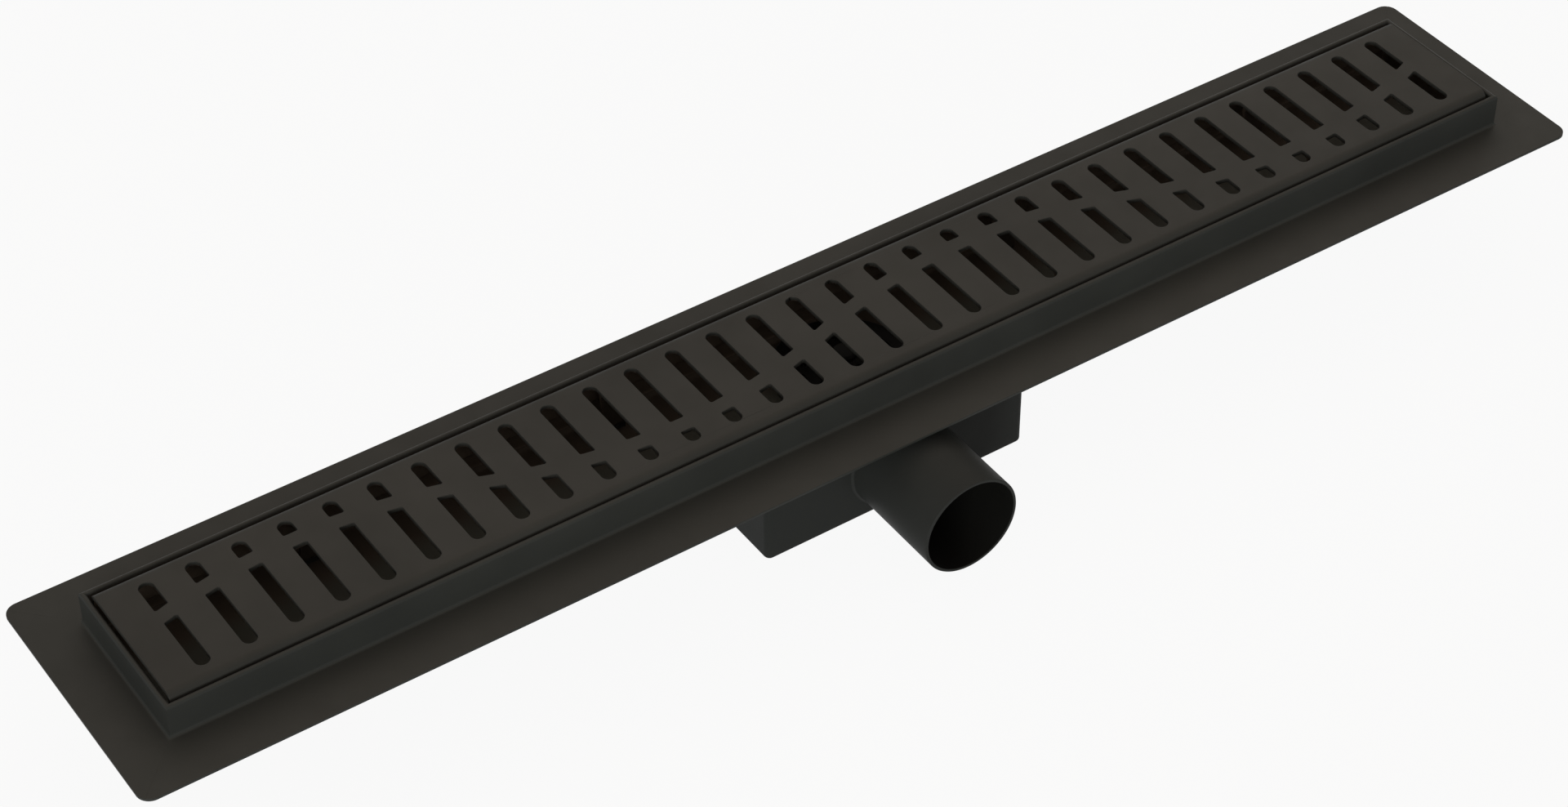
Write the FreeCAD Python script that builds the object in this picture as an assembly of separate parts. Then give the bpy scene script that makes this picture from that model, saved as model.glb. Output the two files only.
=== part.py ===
import FreeCAD, Part
import math
import os

V = FreeCAD.Vector

# Linear shower drain. All sizes are in millimetres. The origin is the middle of the trap box's
# flat base: +X runs along the channel, the outlet leaves towards -Y, +Z points up at the grate.

# Channel: one sheet folded to a trough with hemmed rims and long flanges, and two end pieces.
sheet = 1.2                    # steel sheet of the channel and the trap box
rim_top = 67.6                 # top of the rim above the trap box's base
rim_half_x = 332.6             # outside of the rim
rim_half_y = 37.0
rim_above_flange = 14.1
hem_gap = 0.2                  # left between the two legs of the hem
flange_end_width = 23.4        # flange beyond the rim at the two ends
flange_side_width = 24.0       # and along the two sides
flange_corner = 6.0            # radius of the flange's corners
flange_bend = 1.5              # inside radius where the flange meets the rim
floor_low = 43.0               # floor of the trough at the trap
floor_high = 47.0              # and at the two ends
floor_flat_half_x = 50.0       # level part of the floor around the trap
trough_bend = 3.0              # inside radius between the trough's floor and its sides

# Grate: one sheet with its long edges folded down and slots on both sides of a wavy band.
grate_sheet = 2.0
grate_gap = 1.2                # open joint between grate and rim
grate_proud = 3.4              # how far the grate's flat stands above the rim
grate_depth = 14.0             # height of the folded edge
grate_bend = 3.5               # outside radius of the folded edge
slot_pitch = 20.0
slot_end_margin = 18.0         # least length of cover beyond the middle of the last slot
slot_width = 6.5
slot_side_margin = 7.1         # from the end of a slot to the side of the cover
band_width = 7.3               # solid wavy band that parts each slot in two
wave_height = 14.9             # from the middle line to a crest
wave_quarter_slots = 4         # slots from a crest to the middle line
wave_first_crest = 3           # slots from the first one to the first crest

# Brackets that carry the grate, on rubber pads.
support_shares = (-0.75, -0.3, 0.3, 0.75)    # of the cover's half length, then on a land
support_width = 12.0
support_sheet = 1.5
support_side_room = 6.4        # between the feet and the trough's sides
support_foot = 6.0             # from the middle of a leg to the end of its foot
support_bend = 1.5
pad_height = 2.5
pad_length = 5.0

# Trap box and outlet.
box_half_x = 66.0
box_beyond_rim = 3.0           # how far the box's sides stand outside the rim
box_corner = 3.0
box_base_bend = 2.0
outlet_r = 23.0
outlet_wall = 1.5
outlet_z = 25.2
outlet_length = 51.2
weld = 1.2

# Trap insert: seal ring, funnel with its dip tube, hanging water cup, strainer and knob.
insert_rim_room = 0.4          # between the insert's rim and the trough's side bends
insert_play = 0.6              # around the funnel in the trough's hole and the strainer in it
insert_wall = 1.5
insert_rim_height = 2.0
seal_width = 4.0               # overlap of the insert's rim and the trough's floor
seal_height = 1.5
neck_height = 6.5
cone_height = 4.0
dip_end_z = 11.0
cup_play = 0.9                 # how much smaller than the neck, so that it lifts out
cup_water_gap = 7.0            # between the dip tube and the cup
cup_base_z = 5.0
cup_top_z = 31.0
cup_arm_count = 3
cup_arm_angle = 26.0
strainer_sheet = 0.8
strainer_rim_step = 1.0        # how much smaller the strainer's rim is than the funnel's
strainer_depth = 6.0
strainer_hole_r = 2.2
strainer_ring_step = 9.0       # between the rings of holes
strainer_rings = 2
knob_height = 14.0
knob_stem_r = 2.6
knob_head_r = 5.5

# Levels and lines that follow from the sizes above.
flange_half_x = rim_half_x + flange_end_width
flange_half_y = rim_half_y + flange_side_width
inner_half_x = rim_half_x - 2 * sheet - hem_gap
inner_half_y = rim_half_y - 2 * sheet - hem_gap
flange_top = rim_top - rim_above_flange
flange_under = flange_top - sheet
grate_half_x = inner_half_x - grate_gap
grate_half_y = inner_half_y - grate_gap
grate_top = rim_top + grate_proud
grate_under = grate_top - grate_sheet
slot_end_y = grate_half_y - slot_side_margin
slot_count = 2 * int((grate_half_x - slot_end_margin) / slot_pitch + 0.5)
first_slot_x = -slot_pitch * (slot_count - 1) / 2
wave_crest_x = first_slot_x + wave_first_crest * slot_pitch
wave_quarter = wave_quarter_slots * slot_pitch
support_xs = [slot_pitch * round(share * grate_half_x / slot_pitch) for share in support_shares]
support_foot_y = inner_half_y - support_side_room
support_leg_y = support_foot_y - support_foot
box_half_y = rim_half_y + box_beyond_rim
outlet_end_y = -box_half_y - outlet_length
insert_rim_r = inner_half_y - trough_bend - insert_rim_room
trap_hole_r = insert_rim_r - seal_width
neck_r = trap_hole_r - insert_play
cup_r = neck_r - cup_play
dip_r = cup_r - insert_wall - cup_water_gap
strainer_rim_r = insert_rim_r - strainer_rim_step
funnel_base = floor_low + seal_height
funnel_top = funnel_base + insert_rim_height


def corner_points(before, corner, after, radius):
    """Start, middle and end of the arc that rounds one corner of a path in a plane."""
    come = (before - corner).normalize()
    go = (after - corner).normalize()
    half = come.getAngle(go) / 2
    reach = radius / math.tan(half)
    inward = (come + go).normalize()
    middle = corner + inward * (radius / math.sin(half) - radius)
    return corner + come * reach, middle, corner + go * reach


def rounded_wire(points, radii):
    """Closed wire through the points, each corner rounded by its own radius."""
    count = len(points)
    arcs = [corner_points(points[i - 1], points[i], points[(i + 1) % count], radii[i])
            for i in range(count)]
    edges = []
    for i, (start, middle, end) in enumerate(arcs):
        if start.distanceToPoint(end) > 1e-4:
            edges.append(Part.Arc(start, middle, end).toShape())
        leave = arcs[(i + 1) % count][0]
        if end.distanceToPoint(leave) > 1e-4:
            edges.append(Part.makeLine(end, leave))
    return Part.Wire(Part.__sortEdges__(edges))


def sheet_section(path, thickness, inside_radius, normal):
    """Face of a folded sheet: its middle line widened to both sides, with concentric bends."""
    sides = {1: [], -1: []}
    radii = {1: [], -1: []}
    for i, point in enumerate(path):
        legs = [(path[j + 1] - path[j]).normalize() for j in (i - 1, i) if 0 <= j < len(path) - 1]
        turn = normal.dot(legs[0].cross(legs[-1]))
        across = sum((normal.cross(leg) for leg in legs), V()).normalize()
        stretch = 1 / math.cos(legs[0].getAngle(legs[-1]) / 2)
        for side in (1, -1):
            sides[side].append(point + across * (side * thickness / 2 * stretch))
            outer = thickness if turn * side < 0 else 0
            bend = inside_radius[i] if isinstance(inside_radius, (list, tuple)) else inside_radius
            radii[side].append(0 if abs(turn) < 1e-6 else bend + outer)
    outline = sides[1] + sides[-1][::-1]
    return Part.Face(rounded_wire(outline, radii[1] + radii[-1][::-1]))


def prism(face, direction, start, end):
    """Face pushed along a direction from one distance to another."""
    moved = face.copy()
    moved.translate(direction * start)
    return moved.extrude(direction * (end - start))


def block(x0, x1, y0, y1, z0, z1):
    return Part.makeBox(x1 - x0, y1 - y0, z1 - z0, V(x0, y0, z0))


def turned(points):
    """Solid of revolution about Z from (radius, height) points."""
    corners = [V(radius, 0, height) for radius, height in points]
    return Part.Face(Part.makePolygon(corners + corners[:1])).revolve(V(), V(0, 0, 1), 360)


def floor_z(x):
    """Height of the trough's floor: level at the trap, then rising to both ends."""
    rise = max(0.0, abs(x) - floor_flat_half_x) / (inner_half_x - floor_flat_half_x)
    return floor_low + rise * (floor_high - floor_low)


def trough_room(grow):
    """Room inside the trough, or with grow its outside: bottom edges rounded."""
    end_x = inner_half_x + sheet
    xs = (-end_x, -floor_flat_half_x, floor_flat_half_x, end_x)
    points = [V(x, 0, floor_z(x) - grow) for x in xs]
    points += [V(end_x, 0, rim_top), V(-end_x, 0, rim_top)]
    side = Part.Face(Part.makePolygon(points + points[:1]))
    half_y = inner_half_y + grow
    room = prism(side, V(0, 1, 0), -half_y, half_y)
    low = [edge for edge in room.Edges
           if abs(edge.CenterOfMass.y) > half_y - 0.01 and edge.BoundBox.ZMax < floor_high + 0.5
           and edge.BoundBox.XLength > 1]
    return room.makeFillet(trough_bend + grow, low)


def rim_path(axis, rim_half, end_half, foot_z):
    """Middle line of the folded rim: flange, rim wall, hem over the top and inner wall."""
    half = sheet / 2
    outer = rim_half - half
    inner = outer - sheet - hem_gap
    up = V(0, 0, 1)
    return [axis * end_half + up * (flange_top - half), axis * outer + up * (flange_top - half),
            axis * outer + up * (rim_top - half), axis * inner + up * (rim_top - half),
            axis * inner + up * foot_z]


def rim_fold(axis, rim_half, end_half, foot_z, along, half_length):
    """One side of the rim with its flange, before its ends are mitred."""
    path = rim_path(axis, rim_half, end_half, foot_z)
    bends = [0, flange_bend, hem_gap / 2, hem_gap / 2, 0]
    face = sheet_section(path, sheet, bends, along.cross(axis).cross(axis) * -1)
    return prism(face, along, -half_length, half_length)


def mitre_line(side_x, side_y):
    """Corner seam in plan: along the rim's diagonal, then out to the flange's corner."""
    return [V(side_x * inner_half_x, side_y * inner_half_y, 0),
            V(side_x * rim_half_x, side_y * rim_half_y, 0),
            V(side_x * flange_half_x, side_y * flange_half_y, 0)]


def plan_prism(points):
    face = Part.Face(Part.makePolygon(points + points[:1]))
    return face.extrude(V(0, 0, rim_top))


def flange_plan():
    """Outline of the whole flange with its rounded corners, as a tall prism."""
    corners = [V(-flange_half_x, -flange_half_y, 0), V(flange_half_x, -flange_half_y, 0),
               V(flange_half_x, flange_half_y, 0), V(-flange_half_x, flange_half_y, 0)]
    return Part.Face(rounded_wire(corners, [flange_corner] * 4)).extrude(V(0, 0, rim_top))


def channel_body():
    """Trough, its long hemmed rims and long flanges: one folded sheet."""
    joint_z = flange_under - 2
    open_top = block(-rim_half_x, rim_half_x, -rim_half_y, rim_half_y, joint_z, rim_top)
    body = trough_room(sheet).cut(trough_room(0)).cut(open_top)
    for side in (1, -1):
        axis = V(0, side, 0)
        body = body.fuse(rim_fold(axis, rim_half_y, flange_half_y, joint_z, V(1, 0, 0),
                                  flange_half_x))
    keep = (mitre_line(1, -1)[::-1] + mitre_line(1, 1)
            + mitre_line(-1, 1)[::-1] + mitre_line(-1, -1))
    body = body.common(plan_prism(keep)).common(flange_plan())
    hole = Part.makeCylinder(trap_hole_r, rim_top)
    return body.cut(hole).removeSplitter()


def channel_end(side):
    """End wall of the trough with its hemmed rim and short flange."""
    axis = V(side, 0, 0)
    low = floor_z(inner_half_x) - sheet
    end = rim_fold(axis, rim_half_x, flange_half_x, low - 1, V(0, 1, 0), flange_half_y)
    keep = mitre_line(side, -1) + mitre_line(side, 1)[::-1]
    end = end.common(plan_prism(keep)).common(flange_plan())
    joint_z = flange_under - 2
    lower = end.common(trough_room(sheet)).common(
        block(-flange_half_x, flange_half_x, -rim_half_y, rim_half_y, 0, joint_z))
    upper = end.common(
        block(-flange_half_x, flange_half_x, -flange_half_y, flange_half_y, joint_z, rim_top))
    return upper.fuse(lower).removeSplitter()


def wave(x):
    """Middle of the wavy band and its slope, from circular arcs that join smoothly."""
    radius = (wave_quarter ** 2 + wave_height ** 2) / (2 * wave_height)
    period = 4 * wave_quarter
    u = (x - wave_crest_x + period / 2) % period - period / 2
    if abs(u) <= wave_quarter:
        root = math.sqrt(radius ** 2 - u ** 2)
        return wave_height - radius + root, -u / root
    v = 2 * wave_quarter - abs(u)
    root = math.sqrt(radius ** 2 - v ** 2)
    return radius - wave_height - root, -math.copysign(v / root, u)


def slot_cutter(x, side):
    """One part of a slot: round outer end, inner end sheared along the wave."""
    middle, slope = wave(x)
    half = slot_width / 2
    inner = middle + side * band_width / 2
    points = [V(x - half, side * slot_end_y, grate_under - 1),
              V(x + half, side * slot_end_y, grate_under - 1),
              V(x + half, inner + slope * half, grate_under - 1),
              V(x - half, inner - slope * half, grate_under - 1)]
    radii = [half - 0.001, half - 0.001, 0, 0]
    return Part.Face(rounded_wire(points, radii)).extrude(V(0, 0, grate_sheet + 2))


def grate():
    """Slotted cover with both long edges folded down and the short ends cut square."""
    half = grate_sheet / 2
    leg_y = grate_half_y - half
    foot = grate_top - grate_depth
    path = [V(0, -leg_y, foot), V(0, -leg_y, grate_top - half),
            V(0, leg_y, grate_top - half), V(0, leg_y, foot)]
    face = sheet_section(path, grate_sheet, grate_bend - grate_sheet, V(1, 0, 0))
    cover = prism(face, V(1, 0, 0), -grate_half_x, grate_half_x)
    cutters = [slot_cutter(first_slot_x + i * slot_pitch, side)
               for i in range(slot_count) for side in (-1, 1)]
    return cover.cut(cutters)


def grate_support(x):
    """Bracket bent from a strip: two feet, two legs and a flat top under the grate."""
    half = support_sheet / 2
    top = grate_under - half
    foot = floor_z(x) + pad_height + half
    path = [V(0, -support_foot_y, foot), V(0, -support_leg_y, foot), V(0, -support_leg_y, top),
            V(0, support_leg_y, top), V(0, support_leg_y, foot), V(0, support_foot_y, foot)]
    face = sheet_section(path, support_sheet, support_bend, V(1, 0, 0))
    return prism(face, V(1, 0, 0), x - support_width / 2, x + support_width / 2)


def support_pad(x, side):
    """Rubber pad under one foot, its underside lying on the sloping floor."""
    near = side * (support_foot_y - pad_length)
    far = side * support_foot_y
    pad = block(x - support_width / 2, x + support_width / 2, min(near, far), max(near, far),
                floor_z(x) - pad_height, floor_z(x) + pad_height)
    return pad.common(trough_room(0))


def trap_box():
    """Folded box welded under the channel, its ends notched for the trough."""
    def shell(shrink, base):
        xs, ys = box_half_x - shrink, box_half_y - shrink
        corners = [V(-xs, -ys, base), V(xs, -ys, base), V(xs, ys, base), V(-xs, ys, base)]
        plan = Part.Face(rounded_wire(corners, [box_corner - shrink] * 4))
        solid = plan.extrude(V(0, 0, flange_under - base))
        low = [edge for edge in solid.Edges if edge.BoundBox.ZMax < base + 0.01]
        return solid.makeFillet(box_base_bend - shrink, low)

    hole = Part.makeCylinder(outlet_r, box_half_y, V(0, 0, outlet_z), V(0, -1, 0))
    return shell(0, 0).cut(shell(sheet, sheet)).cut(trough_room(sheet)).cut(hole)


def outlet_pipe():
    """Stub pipe let into the box's front wall, with its weld around the root."""
    start = -box_half_y + sheet
    length = start - outlet_end_y
    down = V(0, -1, 0)
    pipe = Part.makeCylinder(outlet_r, length, V(0, start, outlet_z), down)
    seam = Part.makeCone(outlet_r + weld, outlet_r, weld, V(0, -box_half_y, outlet_z), down)
    bore = Part.makeCylinder(outlet_r - outlet_wall, length, V(0, start, outlet_z), down)
    return pipe.fuse(seam).cut(bore)


def seal_ring():
    """Flat rubber ring between the funnel's rim and the trough's floor."""
    ring = Part.makeCylinder(insert_rim_r, seal_height, V(0, 0, floor_low))
    return ring.cut(Part.makeCylinder(trap_hole_r + insert_play, seal_height, V(0, 0, floor_low)))


def funnel_outside():
    """Outer surface points of the funnel below its rim: neck, cone and dip tube."""
    neck_base = funnel_base - neck_height
    return [(dip_r, dip_end_z), (dip_r, neck_base - cone_height), (neck_r, neck_base),
            (neck_r, funnel_base)]


def funnel():
    """Rim that rests on the seal, neck through the hole, cone and dip tube in the water."""
    wall = insert_wall
    neck_base = funnel_base - neck_height
    inside = [(neck_r - wall, funnel_top), (neck_r - wall, neck_base + wall / 2),
              (dip_r - wall, neck_base - cone_height + wall / 2), (dip_r - wall, dip_end_z)]
    rim = [(insert_rim_r, funnel_base), (insert_rim_r, funnel_top)]
    return turned(funnel_outside() + rim + inside)


def water_cup():
    """Cup that keeps the water seal, hung from the funnel by its arms."""
    inner = cup_r - insert_wall
    height = cup_top_z - cup_base_z
    cup = Part.makeCylinder(cup_r, height, V(0, 0, cup_base_z))
    cup = cup.cut(Part.makeCylinder(inner, height, V(0, 0, cup_base_z + insert_wall)))
    arm = Part.makeCylinder(cup_r, funnel_base - cup_top_z, V(0, 0, cup_top_z), V(0, 0, 1),
                            cup_arm_angle)
    arm = arm.cut(Part.makeCylinder(inner, rim_top, V()))
    outside = funnel_outside()
    funnel_core = turned(outside + [(0, funnel_base), (0, dip_end_z)])
    arm = arm.cut(funnel_core)
    for i in range(cup_arm_count):
        copy = arm.copy()
        copy.rotate(V(), V(0, 0, 1), i * 360 / cup_arm_count + cup_arm_angle)
        cup = cup.fuse(copy)
    return cup.removeSplitter()


def strainer():
    """Pressed steel basket with rings of holes, hung in the funnel by its rim."""
    basket_r = neck_r - insert_wall - insert_play
    base = funnel_top - strainer_depth
    top = funnel_top + strainer_sheet
    basket = turned([(0, base), (basket_r, base), (basket_r, funnel_top),
                     (strainer_rim_r, funnel_top), (strainer_rim_r, top),
                     (basket_r - strainer_sheet, top),
                     (basket_r - strainer_sheet, base + strainer_sheet), (0, base + strainer_sheet)])
    holes = []
    for ring in range(1, strainer_rings + 1):
        for i in range(6 * ring):
            angle = math.radians(60 * i / ring)
            centre = V(math.cos(angle), math.sin(angle), 0) * (ring * strainer_ring_step)
            holes.append(Part.makeCylinder(strainer_hole_r, rim_top, centre))
    return basket.cut(holes)


def strainer_knob():
    """Turned knob by which the strainer is lifted out."""
    base = funnel_top - strainer_depth + strainer_sheet
    top = base + knob_height
    head = knob_head_r / 2
    return turned([(0, base), (knob_stem_r + 1, base), (knob_stem_r, base + 1),
                   (knob_stem_r, top - 1.5 * head), (knob_head_r, top - head),
                   (knob_head_r, top - 1), (knob_head_r - 1, top), (0, top)])


parts = {
    "channel_body": channel_body(),
    "channel_end_left": channel_end(-1),
    "channel_end_right": channel_end(1),
    "grate": grate(),
    "trap_box": trap_box(),
    "outlet_pipe": outlet_pipe(),
    "trap_seal_ring": seal_ring(),
    "trap_funnel": funnel(),
    "trap_water_cup": water_cup(),
    "strainer_basket": strainer(),
    "strainer_knob": strainer_knob(),
}
for number, x in enumerate(support_xs, 1):
    parts[f"grate_support_{number}"] = grate_support(x)
    parts[f"pad_{number}_front"] = support_pad(x, -1)
    parts[f"pad_{number}_back"] = support_pad(x, 1)

os.makedirs("parts", exist_ok=True)
for name, shape in parts.items():
    solids = shape.Solids
    if len(solids) == 1:
        shape = solids[0]
    print(name, "solids", len(solids), "valid", shape.isValid(), "volume", round(shape.Volume, 1))
    shape.exportStep(f"parts/{name}.step")
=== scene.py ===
import math

import bmesh
import bpy
from mathutils import Matrix, Vector


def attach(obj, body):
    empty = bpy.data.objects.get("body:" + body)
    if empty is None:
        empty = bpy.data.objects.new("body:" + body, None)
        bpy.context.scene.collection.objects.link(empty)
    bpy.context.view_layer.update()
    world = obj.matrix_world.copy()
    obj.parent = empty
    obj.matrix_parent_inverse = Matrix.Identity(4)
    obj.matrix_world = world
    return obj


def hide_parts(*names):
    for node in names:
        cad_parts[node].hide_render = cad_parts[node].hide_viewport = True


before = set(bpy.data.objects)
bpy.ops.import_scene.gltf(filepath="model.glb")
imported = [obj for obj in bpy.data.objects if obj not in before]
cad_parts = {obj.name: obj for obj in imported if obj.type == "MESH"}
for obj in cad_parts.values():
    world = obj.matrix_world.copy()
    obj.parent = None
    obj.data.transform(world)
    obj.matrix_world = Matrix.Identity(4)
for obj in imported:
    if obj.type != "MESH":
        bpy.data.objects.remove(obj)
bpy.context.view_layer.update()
scene = bpy.context.scene
MM = 0.001

# View of the photograph: the camera stands at the front left above the drain and looks down
# its length. Place, turn and focal length were fitted to the slots and edges in the picture.
CAMERA_PLACE = (-0.6498, -0.9146, 1.0239)
CAMERA_TURN = (48.327, 0.224, -34.311)
FOCAL_LENGTH = 81.28

camera = bpy.data.objects.new("camera", bpy.data.cameras.new("camera"))
scene.collection.objects.link(camera)
camera.location = CAMERA_PLACE
camera.rotation_euler = [math.radians(turn) for turn in CAMERA_TURN]
camera.data.lens = FOCAL_LENGTH
camera.data.clip_start = 0.05
scene.camera = camera
scene.view_settings.view_transform = "Standard"

# Studio: a bright, even light tent with cool walls and a warm ceiling around a white table.
# A weak warm soft light stands high behind the drain on the right, and a stronger cool one
# low at its front left.
TENT_WALL, TENT_CEILING = (0.88, 0.95, 0.94), (0.90, 0.79, 0.68)
WALL_UP_TO, CEILING_FROM = 0.15, 0.9
WARM_LIGHT, COOL_LIGHT = (1.0, 0.87, 0.76), (0.95, 1.0, 0.97)
TABLE_HALF = 6.0
TABLE_Z = -0.2 * MM    # just under the trap box, so that no two faces share a plane
TABLE_GREY, TABLE_WHITE = 0.3, 0.93

world = bpy.data.worlds.new("studio_tent")
scene.world = world
world.use_nodes = True
tent = world.node_tree
direction = tent.nodes.new("ShaderNodeTexCoord")
steepness = tent.nodes.new("ShaderNodeSeparateXYZ")
tent.links.new(direction.outputs["Generated"], steepness.inputs["Vector"])
wall_to_ceiling = tent.nodes.new("ShaderNodeValToRGB")
wall_end, ceiling_start = wall_to_ceiling.color_ramp.elements
wall_end.position, ceiling_start.position = WALL_UP_TO, CEILING_FROM
wall_end.color, ceiling_start.color = (*TENT_WALL, 1), (*TENT_CEILING, 1)
tent.links.new(steepness.outputs["Z"], wall_to_ceiling.inputs["Fac"])
tent.links.new(wall_to_ceiling.outputs["Color"], tent.nodes["Background"].inputs["Color"])


def soft_light(name, place, width, height, power, colour):
    """Rectangular soft box at a place, turned to the drain."""
    data = bpy.data.lights.new(name, "AREA")
    data.shape = "RECTANGLE"
    data.size = width
    data.size_y = height
    data.energy = power
    data.color = colour
    lamp = bpy.data.objects.new(name, data)
    scene.collection.objects.link(lamp)
    lamp.location = place
    lamp.rotation_euler = (-Vector(place)).to_track_quat("-Z", "Y").to_euler()


soft_light("back_light", (1.1, 1.6, 2.2), 2.6, 2.0, 18, WARM_LIGHT)
soft_light("front_light", (-2.0, -2.2, 0.4), 1.8, 0.8, 88, COOL_LIGHT)


class Finish:
    """A finish's material, with short calls for the nodes that give it tone and relief."""

    def __init__(self, name):
        self.material = bpy.data.materials.new(name)
        self.material.use_nodes = True
        self.tree = self.material.node_tree
        self.shader = self.tree.nodes["Principled BSDF"]
        self.place = self.add("ShaderNodeTexCoord").outputs["Object"]
        self.normal = self.add("ShaderNodeNewGeometry").outputs["Normal"]

    def add(self, kind, **settings):
        node = self.tree.nodes.new(kind)
        for key, value in settings.items():
            setattr(node, key, value)
        return node

    def put(self, value, socket):
        """Links another node's output to a socket, or types a plain value into it."""
        if isinstance(value, bpy.types.NodeSocket):
            self.tree.links.new(value, socket)
        else:
            socket.default_value = value

    def feed(self, node, **values):
        """Puts values into a node's inputs, each named with _ for a space."""
        for key, value in values.items():
            self.put(value, node.inputs[key.replace("_", " ")])
        return node

    def split(self, vector):
        """X, Y and Z of a vector."""
        parts = self.feed(self.add("ShaderNodeSeparateXYZ"), Vector=vector)
        return parts.outputs["X"], parts.outputs["Y"], parts.outputs["Z"]

    def calc(self, operation, *values):
        """Result of a calculation on sockets and numbers."""
        node = self.add("ShaderNodeMath", operation=operation)
        for socket, value in zip(node.inputs, values):
            self.put(value, socket)
        return node.outputs["Value"]

    def all_of(self, *masks):
        """Mask of the places that lie in every one of the masks."""
        common = masks[0]
        for mask in masks[1:]:
            common = self.calc("MULTIPLY", common, mask)
        return common

    def fade(self, value, low, high, least=0.0, most=1.0):
        """Runs from least where the value is low to most where it is high."""
        node = self.feed(self.add("ShaderNodeMapRange"), Value=value, From_Min=low,
                         From_Max=high, To_Min=least, To_Max=most)
        return node.outputs["Result"]

    def clouds(self, scale, detail=2):
        """Cloudy noise with this many waves to the metre."""
        node = self.feed(self.add("ShaderNodeTexNoise"), Vector=self.place, Scale=scale,
                         Detail=detail)
        return node.outputs["Fac"]

    def relief(self, height, strength, depth, under=None):
        """Surface normal with a fine relief, on top of another one if that is given."""
        node = self.feed(self.add("ShaderNodeBump"), Height=height, Strength=strength,
                         Distance=depth * MM)
        if under:
            self.feed(node, Normal=under)
        return node.outputs["Normal"]

    def tones(self, share, dark, light, start=0.0, end=1.0):
        """Base colour that goes from a dark to a light tone."""
        node = self.feed(self.add("ShaderNodeValToRGB"), Fac=share)
        first, last = node.color_ramp.elements
        first.position, last.position = start, end
        first.color, last.color = (*dark, 1), (*light, 1)
        self.feed(self.shader, Base_Color=node.outputs["Color"])

    def lay_over(self, mask, colour):
        """Lays a colour over the base colour where the mask is 1."""
        under = self.shader.inputs["Base Color"].links[0].from_socket
        node = self.feed(self.add("ShaderNodeMix", data_type="RGBA"), Factor=mask, A=under,
                         B=(*colour, 1))
        self.feed(self.shader, Base_Color=node.outputs["Result"])


table_mesh = bpy.data.meshes.new("table")
table_mesh.from_pydata([(x * TABLE_HALF, y * TABLE_HALF, TABLE_Z)
                        for x, y in ((-1, -1), (1, -1), (1, 1), (-1, 1))], [], [(0, 1, 2, 3)])
table = bpy.data.objects.new("table", table_mesh)
scene.collection.objects.link(table)

# The table's paint takes light and shadow as a grey, and is seen and mirrored as white.
table_paint = Finish("table_paint")
table_paint.feed(table_paint.shader, Base_Color=(TABLE_GREY, TABLE_GREY, TABLE_GREY, 1),
                 Roughness=0.9, Specular_IOR_Level=0.1)
ray = table_paint.add("ShaderNodeLightPath").outputs
seen = table_paint.calc("MAXIMUM", ray["Is Camera Ray"], ray["Is Transmission Ray"])
seen_or_mirrored = table_paint.calc("MAXIMUM", seen, ray["Is Glossy Ray"])
glow = table_paint.add("ShaderNodeEmission")
paint_or_glow = table_paint.feed(table_paint.add("ShaderNodeMixShader"),
                                 Fac=table_paint.calc("MULTIPLY", seen_or_mirrored, TABLE_WHITE))
table_paint.put(table_paint.shader.outputs["BSDF"], paint_or_glow.inputs[1])
table_paint.put(glow.outputs["Emission"], paint_or_glow.inputs[2])
table_paint.feed(table_paint.tree.nodes["Material Output"],
                 Surface=paint_or_glow.outputs["Shader"])
table_mesh.materials.append(table_paint.material)


# Channel body: one 1.2 mm steel sheet bent to a shallow trough, its rims hemmed over and its
# edges turned out as flanges that the floor's sealing tape sticks to. It is powder coated black
# after the corners have been welded and ground. All sizes from here on are in millimetres.
SHEET = 1.2
RIM_TOP = 69.0    # 1.4 mm higher than in the solid, as the photograph shows it
RIM_X, RIM_Y = 332.6, 37.0
ROOM_X, ROOM_Y = 330.0, 34.4
FLANGE_X, FLANGE_Y = 356.0, 61.0
FLANGE_CORNER = 6.0
FLANGE_MID = 52.9
FLOOR_LOW, FLOOR_HIGH, FLOOR_FLAT = 43.0, 47.0, 50.0
TROUGH_BEND = 3.0
HAIR = 0.01    # a margin too small to see
BEND_TOP = FLOOR_LOW + TROUGH_BEND + HAIR
RIM_BENDS = [1.5, 0.1, 0.1]
TRAP_HOLE_R = 27.0
ARC_STEP = math.radians(9)
CREASE = math.radians(38)
SEAM_OFFSET = (RIM_X - RIM_Y + FLANGE_X - FLANGE_Y) / 2

CHANNEL_DARK, CHANNEL_LIGHT = (0.0135, 0.0137, 0.0128), (0.0185, 0.0187, 0.0172)
# Warm tone for level faces: partly dust, partly painted warm top light.
DUST_AND_TOP_LIGHT = (0.053, 0.049, 0.043)
TONE_WAVES, DUST_AND_LIGHT_WAVES, GLOSS_WAVES = 14, 9, 55    # to the metre
PEEL_WAVES, PEEL_DEPTH = 620, 0.08
SWELL_WAVES, SWELL_DEPTH = 24, 0.4
GLOSSY, DULL = 0.44, 0.56
SEAM_HALF, SEAM_FADE = 1.1, 1.6
# Painted light inside the trough: paler, browner tones for its walls and floor, greener on the
# floor's front half.
TROUGH_WALL_PAINTED_LIGHT = (0.105, 0.079, 0.061)
TROUGH_FLOOR_PAINTED_LIGHT = (0.053, 0.042, 0.033)
TROUGH_FRONT_PAINTED_LIGHT = (0.060, 0.062, 0.053)
PAINTED_LIGHT_SHARE = 0.85
INSIDE_AXIS_Z = 60.0
MASK_SLACK = 0.5


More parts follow.
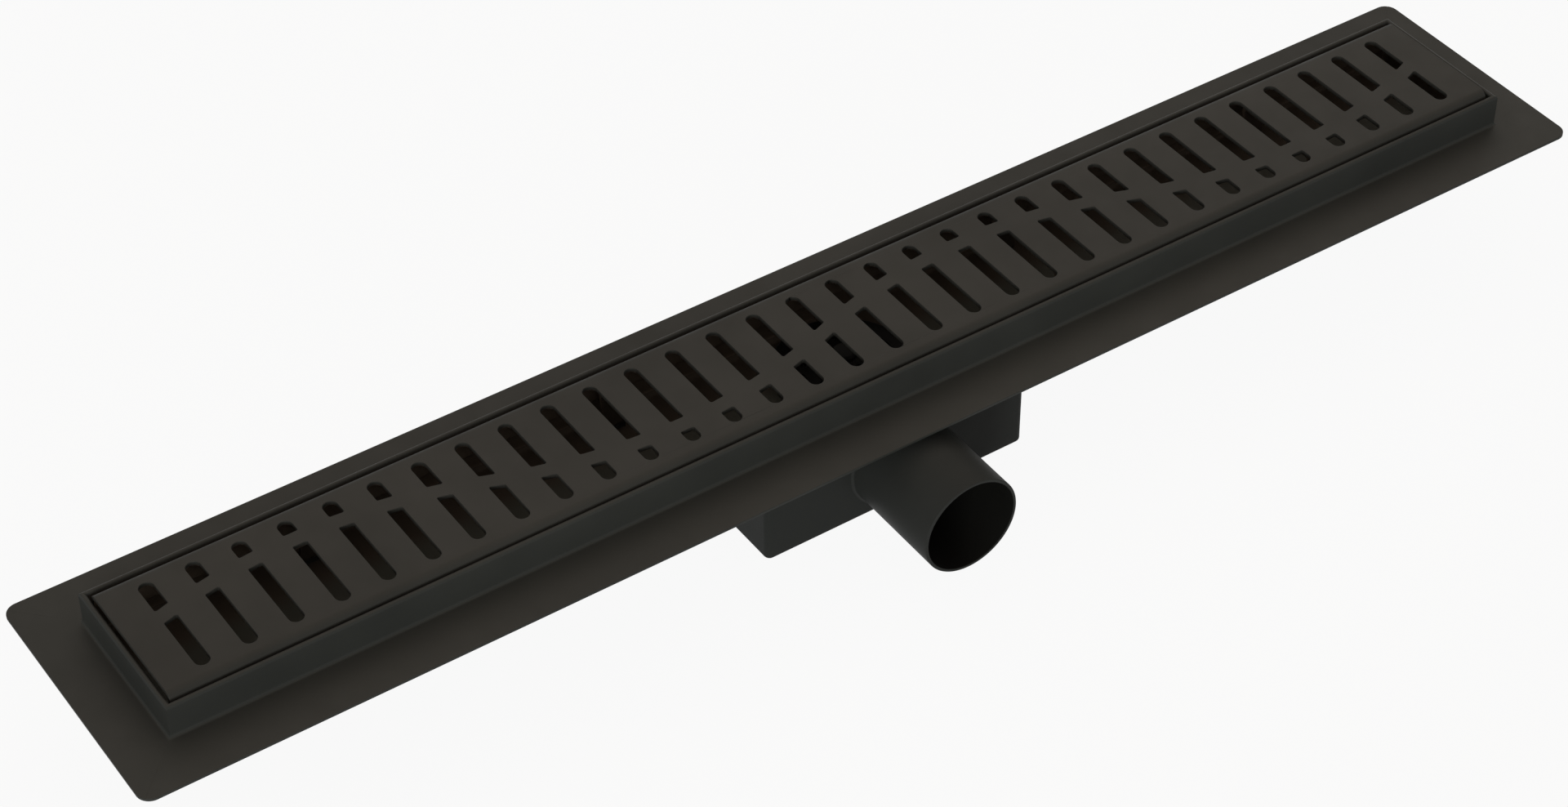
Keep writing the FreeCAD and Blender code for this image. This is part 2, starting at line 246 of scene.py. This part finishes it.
def fold(path, thickness, bends):
    """Two faces of a folded sheet as lists of points, from its middle line in a plane."""
    left, right = [], []
    points = [Vector(point) for point in path]
    for i, point in enumerate(points):
        before = (point - points[i - 1]).normalized() if i else None
        after = (points[i + 1] - point).normalized() if i + 1 < len(points) else None
        before, after = before or after, after or before
        angle = before.angle(after)
        side = Vector((-before.y, before.x))
        if angle < 1e-6:
            left.append(point + side * thickness / 2)
            right.append(point - side * thickness / 2)
            continue
        sign = 1 if before.cross(after) > 0 else -1
        middle_r = bends[i] + thickness / 2
        start = point - before * middle_r * math.tan(angle / 2)
        centre = start + side * sign * middle_r
        steps = max(2, math.ceil(angle / ARC_STEP))
        for step in range(steps + 1):
            spoke = Matrix.Rotation(sign * angle * step / steps, 2) @ (side * -sign)
            left.append(centre + spoke * (middle_r - sign * thickness / 2))
            right.append(centre + spoke * (middle_r + sign * thickness / 2))
    return left, right


def rim_folds(rim, room):
    """Middle line of the sheet from the foot of a rim up and over its hem."""
    outer, inner, hem = rim - SHEET / 2, room + SHEET / 2, RIM_TOP - SHEET / 2
    return [(outer, FLANGE_MID), (outer, hem), (inner, hem)]


def rise(x):
    """How much higher the trough's floor is at x than at the trap."""
    return max(0.0, abs(x) - FLOOR_FLAT) / (ROOM_X - FLOOR_FLAT) * (FLOOR_HIGH - FLOOR_LOW)


def mitre_x(y):
    """Where the corner seam crosses this distance from the middle, in plan."""
    y = abs(y)
    if y <= ROOM_Y:
        return ROOM_X
    if y <= RIM_Y:
        return ROOM_X + y - ROOM_Y
    seam = RIM_X + (y - RIM_Y) * (FLANGE_X - RIM_X) / (FLANGE_Y - RIM_Y)
    past = y - (FLANGE_Y - FLANGE_CORNER)
    if past <= 0:
        return seam
    reach = math.sqrt(max(0.0, FLANGE_CORNER ** 2 - past ** 2))
    return min(seam, FLANGE_X - FLANGE_CORNER + reach)


def mesh_through(rings, caps=(), around=False):
    """Mesh through closed rings of equally many points; around also joins last to first."""
    count = len(rings[0])
    faces = []
    for ring in range(len(rings) if around else len(rings) - 1):
        near, far = ring * count, (ring + 1) % len(rings) * count
        for i in range(count):
            j = (i + 1) % count
            faces.append((near + i, near + j, far + j, far + i))
    mesh = bpy.data.meshes.new("rings")
    points = [[value * MM for value in point] for ring in rings for point in ring]
    mesh.from_pydata(points, [], faces + list(caps))
    mix = bmesh.new()
    mix.from_mesh(mesh)
    bmesh.ops.recalc_face_normals(mix, faces=mix.faces)
    mix.to_mesh(mesh)
    mix.free()
    return mesh


def swept_sheet(left, right, stations):
    """Mesh of a folded sheet that runs from the first station through to the last."""
    loop = left + right[::-1]
    count = len(loop)
    caps = []
    for first in (0, (len(stations) - 1) * count):
        for i in range(len(left) - 1):
            caps.append((first + i, first + i + 1, first + count - 2 - i, first + count - 1 - i))
    return mesh_through([[place(point) for point in loop] for place in stations], caps)


def cut_mesh(mesh, cutter_mesh):
    """The mesh with another one taken away."""
    body = bpy.data.objects.new("body", mesh)
    cutter = bpy.data.objects.new("cutter", cutter_mesh)
    for thing in (body, cutter):
        scene.collection.objects.link(thing)
    boolean = body.modifiers.new("cut", "BOOLEAN")
    boolean.operation = "DIFFERENCE"
    boolean.solver = "EXACT"
    boolean.object = cutter
    bpy.context.view_layer.update()
    result = bpy.data.meshes.new_from_object(body.evaluated_get(
        bpy.context.evaluated_depsgraph_get()))
    for thing in (body, cutter):
        bpy.data.objects.remove(thing)
    return result


def cylinder_mesh(radius, low, high, turn=Matrix.Identity(4), sides=96):
    """Closed cylinder between two heights, then turned."""
    mesh = bpy.data.meshes.new("cylinder")
    mix = bmesh.new()
    bmesh.ops.create_cone(mix, cap_ends=True, segments=sides, radius1=radius * MM,
                          radius2=radius * MM, depth=(high - low) * MM)
    bmesh.ops.translate(mix, verts=mix.verts, vec=(0, 0, (low + high) / 2 * MM))
    bmesh.ops.transform(mix, matrix=turn, verts=mix.verts)
    mix.to_mesh(mesh)
    mix.free()
    return mesh


def finish_mesh(name, mesh, node, finish):
    """Puts a mesh in the scene as the piece that stands for one CAD node."""
    piece = bpy.data.objects.new(name, mesh)
    scene.collection.objects.link(piece)
    mesh.materials.clear()
    mesh.materials.append(finish.material)
    mesh.shade_smooth()
    mesh.set_sharp_from_angle(angle=CREASE)
    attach(piece, "root")
    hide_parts(node)
    return piece


def powder_coat(name, dark, light, dust_and_top_light=0.0, shine=0.09, edge=0.6, wear=0.15, mitred=False):
    """Baked powder coating: cloudy tone and gloss, fine orange peel, thin and paler along sharp
    edges, dust and painted warm top light on level faces. Mitred sheets have no wear on their
    ground seams."""
    coat = Finish(name)
    coat.feed(coat.shader, Specular_IOR_Level=shine)
    coat.tones(coat.clouds(TONE_WAVES, 4), dark, light, 0.3, 0.72)
    # Dust and painted warm top light on level faces, in patches.
    if dust_and_top_light:
        level = coat.fade(coat.split(coat.normal)[2], 0.7, 1.0, most=dust_and_top_light)
        patches = coat.fade(coat.clouds(DUST_AND_LIGHT_WAVES, 5), 0.2, 0.75, least=0.5)
        coat.lay_over(coat.all_of(level, patches), DUST_AND_TOP_LIGHT)

    rounded = coat.feed(coat.add("ShaderNodeBevel", samples=4), Radius=edge * MM)
    normal = rounded.outputs["Normal"]
    if mitred:
        x, y, _ = coat.split(coat.place)
        across = coat.calc("SUBTRACT", coat.calc("ABSOLUTE", x), coat.calc("ABSOLUTE", y))
        off_seam = coat.calc("ABSOLUTE", coat.calc("SUBTRACT", across, SEAM_OFFSET * MM))
        at_seam = coat.fade(off_seam, SEAM_FADE * MM, SEAM_HALF * MM)
        flat_at_seam = coat.feed(coat.add("ShaderNodeMix", data_type="VECTOR"),
                                 Factor=at_seam, A=normal, B=coat.normal)
        normal = flat_at_seam.outputs["Result"]
    turned_by = coat.add("ShaderNodeVectorMath", operation="DOT_PRODUCT")
    coat.put(normal, turned_by.inputs[0])
    coat.put(coat.normal, turned_by.inputs[1])
    worn_tone = [2.1 * value + 0.004 for value in light]
    coat.lay_over(coat.fade(turned_by.outputs["Value"], 0.995, 0.86, most=wear), worn_tone)

    peel = coat.relief(coat.clouds(PEEL_WAVES, 3), 0.22, PEEL_DEPTH, normal)
    swell = coat.relief(coat.clouds(SWELL_WAVES), 0.12, SWELL_DEPTH, peel)
    roughness = coat.fade(coat.clouds(GLOSS_WAVES, 6), 0.3, 0.7, GLOSSY, DULL)
    coat.feed(coat.shader, Roughness=roughness, Normal=swell)
    return coat


def paint_trough_light(coat):
    """Painted light inside the trough, as it shows through the slots: paler, browner tones on
    the walls most, the floor less, with the floor's front half a little greener."""
    x, y, z = coat.split(coat.place)
    _, faces_y, faces_z = coat.split(coat.normal)
    from_middle, from_centre = coat.calc("ABSOLUTE", y), coat.calc("ABSOLUTE", x)
    between_sides = coat.calc("LESS_THAN", from_middle, (ROOM_Y + MASK_SLACK) * MM)
    between_ends = coat.calc("LESS_THAN", from_centre, (ROOM_X + MASK_SLACK) * MM)
    below_axis = coat.calc("SUBTRACT", INSIDE_AXIS_Z * MM, z)
    faces_axis = coat.calc("SUBTRACT", coat.calc("MULTIPLY", faces_z, below_axis),
                           coat.calc("MULTIPLY", faces_y, y))
    inner_face = coat.calc("GREATER_THAN", faces_axis, -MASK_SLACK * MM)
    below_rim = coat.fade(z, (RIM_TOP - 0.5) * MM, (RIM_TOP - 7) * MM, most=PAINTED_LIGHT_SHARE)
    inside = coat.all_of(between_sides, between_ends, inner_face, below_rim)
    on_floor = coat.all_of(inside, coat.calc("GREATER_THAN", faces_z, 0.5))
    front_half = coat.fade(y, 14 * MM, 4 * MM)
    coat.lay_over(inside, TROUGH_WALL_PAINTED_LIGHT)
    coat.lay_over(on_floor, TROUGH_FLOOR_PAINTED_LIGHT)
    coat.lay_over(coat.all_of(on_floor, front_half), TROUGH_FRONT_PAINTED_LIGHT)


def body_station(side, x=None):
    """Places the channel's section at one x, or at the corner seam on one side."""
    def place(point):
        y, z = point
        reach = mitre_x(y) if x is None else x
        return side * reach, y, z + (rise(reach) if z < BEND_TOP else 0)
    return place


channel_coat = powder_coat("channel_coat", CHANNEL_DARK, CHANNEL_LIGHT, dust_and_top_light=0.2, mitred=True)
paint_trough_light(channel_coat)

corner_ys = [FLANGE_Y - FLANGE_CORNER * (1 - math.cos(math.radians(turn)))
             for turn in range(0, 46, 5)]
half_path = [(y, FLANGE_MID) for y in corner_ys] + rim_folds(RIM_Y, ROOM_Y)
half_path.append((ROOM_Y + SHEET / 2, FLOOR_LOW - SHEET / 2))
half_bends = [0] * len(corner_ys) + RIM_BENDS + [TROUGH_BEND]
top_face, under_face = fold(half_path + [(-y, z) for y, z in half_path[::-1]], SHEET,
                            half_bends + half_bends[::-1])
body_mesh = swept_sheet(top_face, under_face,
                        [body_station(-1), body_station(-1, FLOOR_FLAT),
                         body_station(1, FLOOR_FLAT), body_station(1)])
body_mesh = cut_mesh(body_mesh, cylinder_mesh(TRAP_HOLE_R, FLOOR_LOW - 10, FLOOR_LOW + 10))
finish_mesh("channel_sheet", body_mesh, "channel_body", channel_coat)


# Channel ends: the same sheet and folds as the long rims, mitred and welded into the corners,
# with the end wall of the trough hanging from the hem. Their seams are ground flush.
END_LOW = 45.8
FOOT_BEND = SHEET + TROUGH_BEND


def end_piece(name, side, node):
    """One end of the channel, its section drawn along x and as wide as the seams allow."""
    foot = [END_LOW + FOOT_BEND * (1 - math.cos(math.radians(turn)))
            for turn in range(90, -1, -10)]
    path = [(FLANGE_X - (FLANGE_Y - y), FLANGE_MID) for y in corner_ys]
    path += rim_folds(RIM_X, ROOM_X) + [(ROOM_X + SHEET / 2, z) for z in foot]
    bends = [0] * len(corner_ys) + RIM_BENDS + [0] * len(foot)
    left, right = fold(path, SHEET, bends)

    def half_width(x, z):
        if x <= RIM_X:
            half = ROOM_Y + x - ROOM_X
        else:
            half = RIM_Y + (x - RIM_X) * (FLANGE_Y - RIM_Y) / (FLANGE_X - RIM_X)
        past = x - (FLANGE_X - FLANGE_CORNER)
        if past > 0:
            corner = math.sqrt(max(0.0, FLANGE_CORNER ** 2 - past ** 2))
            half = min(half, FLANGE_Y - FLANGE_CORNER + corner)
        below = END_LOW + FOOT_BEND - z
        if below > 0:
            corner = math.sqrt(max(0.0, FOOT_BEND ** 2 - below ** 2))
            half = min(half, ROOM_Y + SHEET - FOOT_BEND + corner)
        return half

    def station(end):
        return lambda point: (side * point[0], end * half_width(*point), point[1])

    finish_mesh(name, swept_sheet(left, right, [station(-1), station(1)]), node, channel_coat)


end_piece("channel_end_left_sheet", -1, "channel_end_left")
end_piece("channel_end_right_sheet", 1, "channel_end_right")


# Trap box: a pressed and folded steel box under the middle of the channel that holds the trap.
# It is welded to the flanges' undersides and its ends are notched around the trough.
BOX_X, BOX_Y, BOX_TOP = 66.0, 40.0, 52.3
BOX_CORNER, BOX_BASE = 3.0, 2.0
BASE_STEPS = 6
OUTLET_R, OUTLET_Z = 23.0, 25.2
NOTCH_X, NOTCH_TOP = 80.0, 60.0    # past the box's ends and top
# The box's coat tones are a little darker than the channel's: painted shade for its place under
# the channel.
BOX_SHADED_DARK, BOX_SHADED_LIGHT = (0.0123, 0.0126, 0.0120), (0.0170, 0.0173, 0.0164)


def round_rect(half_x, half_y, radius, height, steps=8):
    """Points of a rounded rectangle, anticlockwise from the right side."""
    points = []
    for quarter in range(4):
        cx = (half_x - radius) * (1 if quarter in (0, 3) else -1)
        cy = (half_y - radius) * (1 if quarter in (0, 1) else -1)
        for step in range(steps + 1):
            angle = math.pi / 2 * (quarter + step / steps)
            points.append((cx + radius * math.cos(angle), cy + radius * math.sin(angle), height))
    return points


def solid_through(rings):
    """Closed mesh through rings, with a flat face over the first and the last one."""
    count = len(rings[0])
    last = (len(rings) - 1) * count
    return mesh_through(rings, [tuple(range(count)), tuple(range(last, last + count))])


def box_rings(inset):
    """Rings of the box's outside, or with inset of its inside, from the base up."""
    rings = []
    base_r = BOX_BASE - inset
    for step in range(BASE_STEPS + 1):
        angle = math.pi / 2 * step / BASE_STEPS
        shrink = base_r * (1 - math.sin(angle))
        rings.append(round_rect(BOX_X - inset - shrink, BOX_Y - inset - shrink,
                                BOX_CORNER - inset - shrink,
                                inset + base_r * (1 - math.cos(angle))))
    rings.append(round_rect(BOX_X - inset, BOX_Y - inset, BOX_CORNER - inset, BOX_TOP))
    return rings


def notch_ring(x):
    """Outline of the trough's underside at x, closed above the box's top."""
    ring = [(x, y, z + rise(x)) for y, z in under_face if z < BEND_TOP]
    return ring + [(x, y, NOTCH_TOP) for y in (-ROOM_Y - SHEET, ROOM_Y + SHEET)]


box_mesh = solid_through(box_rings(0) + box_rings(SHEET)[::-1])
notch_mesh = solid_through([notch_ring(x) for x in (-NOTCH_X, -FLOOR_FLAT, FLOOR_FLAT, NOTCH_X)])
box_mesh = cut_mesh(box_mesh, notch_mesh)
towards_front = Matrix.Translation((0, 0, OUTLET_Z * MM)) @ Matrix.Rotation(math.pi / 2, 4, "X")
box_mesh = cut_mesh(box_mesh, cylinder_mesh(OUTLET_R, BOX_Y - 10, BOX_Y + 10, towards_front))
box_coat = powder_coat("box_coat", BOX_SHADED_DARK, BOX_SHADED_LIGHT, shine=0.03)
finish_mesh("trap_box_shell", box_mesh, "trap_box", box_coat)


# Outlet pipe: a stub of thin steel tube let into the front of the trap box, welded around its
# root and cut off square, its mouth lightly rounded so that a rubber sleeve slips over it.
PIPE_BORE_R = 21.5
PIPE_END = 91.2
WELD = 1.2
OUTER_LIP, INNER_LIP = 0.4, 0.3
# The pipe's coat tones are a little darker than the channel's: painted shade under the channel.
PIPE_SHADED_DARK, PIPE_SHADED_LIGHT = (0.0128, 0.0131, 0.0125), (0.0175, 0.0178, 0.0169)
# Painted shade for the pipe's bore.
BORE_PAINTED_SHADE = (0.004, 0.0038, 0.0034)


def turned_mesh(profile, sides=128):
    """Mesh turned about Z from a closed list of (radius, height) points."""
    rings = []
    for i in range(sides):
        angle = 2 * math.pi * i / sides
        rings.append([(r * math.cos(angle), r * math.sin(angle), z) for r, z in profile])
    return mesh_through(rings, around=True)


def lip(radius, height, size, start, end, steps=4):
    """Points of a small quarter round on a turned profile."""
    points = []
    for step in range(steps + 1):
        angle = math.radians(start + (end - start) * step / steps)
        points.append((radius + size * math.cos(angle), height + size * math.sin(angle)))
    return points


def paint_bore_shade(coat):
    """Painted shade inside the pipe: a darker tone over its bore."""
    x, _, z = coat.split(coat.place)
    up = coat.calc("SUBTRACT", z, OUTLET_Z * MM)
    from_axis = coat.calc("SQRT", coat.calc("ADD", coat.calc("MULTIPLY", up, up),
                                            coat.calc("MULTIPLY", x, x)))
    coat.lay_over(coat.fade(from_axis, (PIPE_BORE_R + 0.4) * MM, (PIPE_BORE_R + 0.1) * MM),
                  BORE_PAINTED_SHADE)


pipe_coat = powder_coat("pipe_coat", PIPE_SHADED_DARK, PIPE_SHADED_LIGHT, shine=0.045, edge=0.05, wear=0.1)
paint_bore_shade(pipe_coat)
pipe_profile = [(PIPE_BORE_R, BOX_Y - SHEET), (OUTLET_R, BOX_Y - SHEET), (OUTLET_R, BOX_Y)]
pipe_profile += [(OUTLET_R + WELD * (1 - math.sin(angle)), BOX_Y + WELD * (1 - math.cos(angle)))
                 for angle in [math.radians(turn) for turn in range(0, 91, 15)]]
pipe_profile += lip(OUTLET_R - OUTER_LIP, PIPE_END - OUTER_LIP, OUTER_LIP, 0, 90)
pipe_profile += lip(PIPE_BORE_R + INNER_LIP, PIPE_END - INNER_LIP, INNER_LIP, 90, 180)
pipe_mesh = turned_mesh(pipe_profile)
pipe_mesh.transform(towards_front)
finish_mesh("outlet_stub", pipe_mesh, "outlet_pipe", pipe_coat)


# Trap insert: a black polypropylene funnel on a rubber seal, its dip tube standing in a water
# cup that hangs on three arms, and a black coated strainer with a turned knob to lift it by.
PLASTIC, SEAL_RUBBER = (0.02, 0.02, 0.021), (0.012, 0.012, 0.012)
SHADE_WAVES, GRAIN_WAVES, MOTTLE_WAVES = 60, 1800, 420
GRAIN_DEPTH, MOTTLE_DEPTH = 0.05, 0.1
STRAINER_DARK, STRAINER_LIGHT = (0.007, 0.007, 0.007), (0.011, 0.011, 0.0105)


def moulded_plastic(name, colour):
    """Injection moulded polypropylene: spark-eroded grain and a soft sheen."""
    plastic = Finish(name)
    plastic.tones(plastic.clouds(SHADE_WAVES), [0.8 * value for value in colour],
                  [1.25 * value for value in colour])
    grain = plastic.feed(plastic.add("ShaderNodeTexVoronoi"), Vector=plastic.place,
                         Scale=GRAIN_WAVES)
    grained = plastic.relief(grain.outputs["Distance"], 0.3, GRAIN_DEPTH)
    plastic.feed(plastic.shader, Roughness=0.55, Normal=grained)
    return plastic


def moulded_rubber(name, colour):
    """Moulded rubber: dull, with a fine dusty mottle."""
    rubber = Finish(name)
    mottle = rubber.clouds(MOTTLE_WAVES, 5)
    rubber.tones(mottle, colour, [1.9 * value for value in colour])
    uneven = rubber.relief(mottle, 0.25, MOTTLE_DEPTH)
    rubber.feed(rubber.shader, Roughness=0.8, Normal=uneven)
    return rubber


def dress(node, finish):
    """Gives a CAD node that is shown as it is its finish."""
    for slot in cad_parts[node].material_slots:
        slot.material = finish.material


trap_plastic = moulded_plastic("trap_plastic", PLASTIC)
dress("trap_funnel", trap_plastic)
dress("trap_water_cup", trap_plastic)
dress("trap_seal_ring", moulded_rubber("seal_rubber", SEAL_RUBBER))
strainer_coat = powder_coat("strainer_coat", STRAINER_DARK, STRAINER_LIGHT)
dress("strainer_basket", strainer_coat)
dress("strainer_knob", strainer_coat)


# Cover supports: brackets bent from coated strip, two legs and two feet each, that stand in
# the trough on small rubber pads and carry the cover under the lands between its slots. Their
# coating gets the paler, browner painted light of the trough around them.
SUPPORT_COUNT = 4
# Painted light: the brackets' tones match the painted light inside the trough.
BRACKET_DARK_PAINTED_LIGHT, BRACKET_PALE_PAINTED_LIGHT = (0.046, 0.036, 0.028), (0.064, 0.050, 0.040)
PAD_RUBBER = (0.014, 0.014, 0.014)

bracket_painted_light = powder_coat("bracket_painted_light", BRACKET_DARK_PAINTED_LIGHT, BRACKET_PALE_PAINTED_LIGHT)
pad_rubber = moulded_rubber("pad_rubber", PAD_RUBBER)
for number in range(1, SUPPORT_COUNT + 1):
    dress(f"grate_support_{number}", bracket_painted_light)
    dress(f"pad_{number}_front", pad_rubber)
    dress(f"pad_{number}_back", pad_rubber)


# Cover: a 2 mm steel blank, laser cut with slots on both sides of a solid wavy band, then
# folded down along both long edges and coated. It lies loose on its supports, here a hair to
# the left and the front within its play in the rim.
COVER_SHEET = 2.0
COVER_X, COVER_Y, COVER_TOP, COVER_DEPTH = 328.8, 33.2, 71.0, 14.0
COVER_MID = COVER_TOP - COVER_SHEET / 2
COVER_BEND = 4.0
EDGE_ROUND = 0.22
SHIFT_X, SHIFT_Y = -0.3, -0.5
SLOT_COUNT, SLOT_PITCH, SLOT_WIDTH, SLOT_END = 32, 20.0, 6.5, 26.1
SLOT_CORNER = 0.8
BAND, WAVE_HEIGHT, WAVE_QUARTER = 7.3, 14.9, 80.0
FIRST_SLOT = -SLOT_PITCH * (SLOT_COUNT - 1) / 2
FIRST_CREST = FIRST_SLOT + 3 * SLOT_PITCH
FOLD_R = COVER_BEND - COVER_SHEET / 2
FOLD_Y = COVER_Y - COVER_BEND
FOLD_LENGTH = FOLD_R * math.pi / 2
FOLD_STEPS = 8
BLANK_Y = FOLD_Y + FOLD_LENGTH + COVER_DEPTH - COVER_BEND
# The cover's tones are warmer than the channel's: partly its coat, partly painted warm top
# light.
COVER_DARK, COVER_LIGHT = (0.0136, 0.0130, 0.0117), (0.0188, 0.0178, 0.0160)
# Painted light for the inside of the cover's folds.
COVER_FOLD_PAINTED_LIGHT = (0.115, 0.086, 0.066)


def wave(x):
    """Middle of the wavy band, drawn with arcs that meet on the cover's middle line."""
    radius = (WAVE_QUARTER ** 2 + WAVE_HEIGHT ** 2) / (2 * WAVE_HEIGHT)
    period = 4 * WAVE_QUARTER
    from_crest = (x - FIRST_CREST + period / 2) % period - period / 2
    crest = abs(from_crest) <= WAVE_QUARTER
    along = from_crest if crest else 2 * WAVE_QUARTER - abs(from_crest)
    bulge = math.sqrt(radius ** 2 - along ** 2) - radius + WAVE_HEIGHT
    return bulge if crest else -bulge


def round_corners(corners):
    """Points of a closed outline, from (x, y, corner radius, steps) corners."""
    outline = []
    for i, (x, y, radius, steps) in enumerate(corners):
        corner = Vector((x, y))
        come = (Vector(corners[i - 1][:2]) - corner).normalized()
        go = (Vector(corners[(i + 1) % len(corners)][:2]) - corner).normalized()
        half = come.angle(go) / 2
        centre = corner + (come + go).normalized() * (radius / math.sin(half))
        start = corner + come * (radius / math.tan(half)) - centre
        end = corner + go * (radius / math.tan(half)) - centre
        swing = start.angle_signed(end)
        for step in range(steps + 1):
            outline.append(centre + Matrix.Rotation(-swing * step / steps, 2) @ start)
    return outline


def slot_outline(x, side):
    """One part of a slot: round outer end, inner end cut along the wave."""
    half = SLOT_WIDTH / 2
    edge = side * BAND / 2
    return round_corners([(x - half, side * SLOT_END, half - HAIR, 9),
                          (x + half, side * SLOT_END, half - HAIR, 9),
                          (x + half, wave(x + half) + edge, SLOT_CORNER, 5),
                          (x - half, wave(x - half) + edge, SLOT_CORNER, 5)])


def blank_mesh():
    """The flat cover blank with its slots, filled between its outlines."""
    drawing = bpy.data.curves.new("cover_drawing", "CURVE")
    drawing.dimensions = "2D"
    drawing.fill_mode = "BOTH"
    outlines = [[(-COVER_X, -BLANK_Y), (COVER_X, -BLANK_Y), (COVER_X, BLANK_Y),
                 (-COVER_X, BLANK_Y)]]
    outlines += [slot_outline(FIRST_SLOT + i * SLOT_PITCH, side)
                 for i in range(SLOT_COUNT) for side in (-1, 1)]
    for outline in outlines:
        line = drawing.splines.new("POLY")
        line.points.add(len(outline) - 1)
        for point, (x, y) in zip(line.points, outline):
            point.co = (x * MM, y * MM, 0, 1)
        line.use_cyclic_u = True
    sketch = bpy.data.objects.new("cover_drawing", drawing)
    mesh = bpy.data.meshes.new_from_object(sketch)
    bpy.data.objects.remove(sketch)
    return mesh


def press_brake(x, y):
    """Where a point of the flat blank is after both long edges are folded down."""
    side = math.copysign(1, y)
    past = abs(y) - FOLD_Y
    if past <= 0:
        across, height = y, COVER_MID
    elif past < FOLD_LENGTH:
        angle = past / FOLD_R
        across = side * (FOLD_Y + FOLD_R * math.sin(angle))
        height = COVER_MID - FOLD_R * (1 - math.cos(angle))
    else:
        across = side * (COVER_Y - COVER_SHEET / 2)
        height = COVER_MID - FOLD_R - (past - FOLD_LENGTH)
    return x + SHIFT_X, across + SHIFT_Y, height


def paint_fold_light(coat):
    """Painted light on the inside of the cover's folds: a paler, browner tone, as in the trough.
    """
    _, y, z = coat.split(coat.place)
    _, faces_y, _ = coat.split(coat.normal)
    faces_in = coat.calc("LESS_THAN", coat.calc("MULTIPLY", faces_y, y), -10 * MM)
    below_top = coat.fade(z, (COVER_TOP - 1.5) * MM, (COVER_TOP - 2.5) * MM, most=PAINTED_LIGHT_SHARE)
    coat.lay_over(coat.all_of(faces_in, below_top), COVER_FOLD_PAINTED_LIGHT)


cover_mesh = blank_mesh()
mix = bmesh.new()
mix.from_mesh(cover_mesh)
bmesh.ops.remove_doubles(mix, verts=mix.verts, dist=1e-7)
for side in (-1, 1):
    for step in range(FOLD_STEPS + 1):
        line_y = side * (FOLD_Y + FOLD_LENGTH * step / FOLD_STEPS) * MM
        bmesh.ops.bisect_plane(mix, geom=mix.verts[:] + mix.edges[:] + mix.faces[:],
                               plane_co=(0, line_y, 0), plane_no=(0, 1, 0), dist=1e-8)
for vertex in mix.verts:
    vertex.co = Vector(press_brake(vertex.co.x / MM, vertex.co.y / MM)) * MM
bmesh.ops.recalc_face_normals(mix, faces=mix.faces)
mix.to_mesh(cover_mesh)
mix.free()

cover_coat = powder_coat("cover_coat", COVER_DARK, COVER_LIGHT, dust_and_top_light=0.14)
paint_fold_light(cover_coat)
cover = finish_mesh("slotted_cover", cover_mesh, "grate", cover_coat)
thickness = cover.modifiers.new("sheet", "SOLIDIFY")
thickness.thickness = COVER_SHEET * MM
thickness.offset = 0
edges = cover.modifiers.new("edge_rounding", "BEVEL")
edges.width = EDGE_ROUND * MM
edges.segments = 2
edges.limit_method = "ANGLE"
edges.angle_limit = math.radians(50)
edges.harden_normals = True
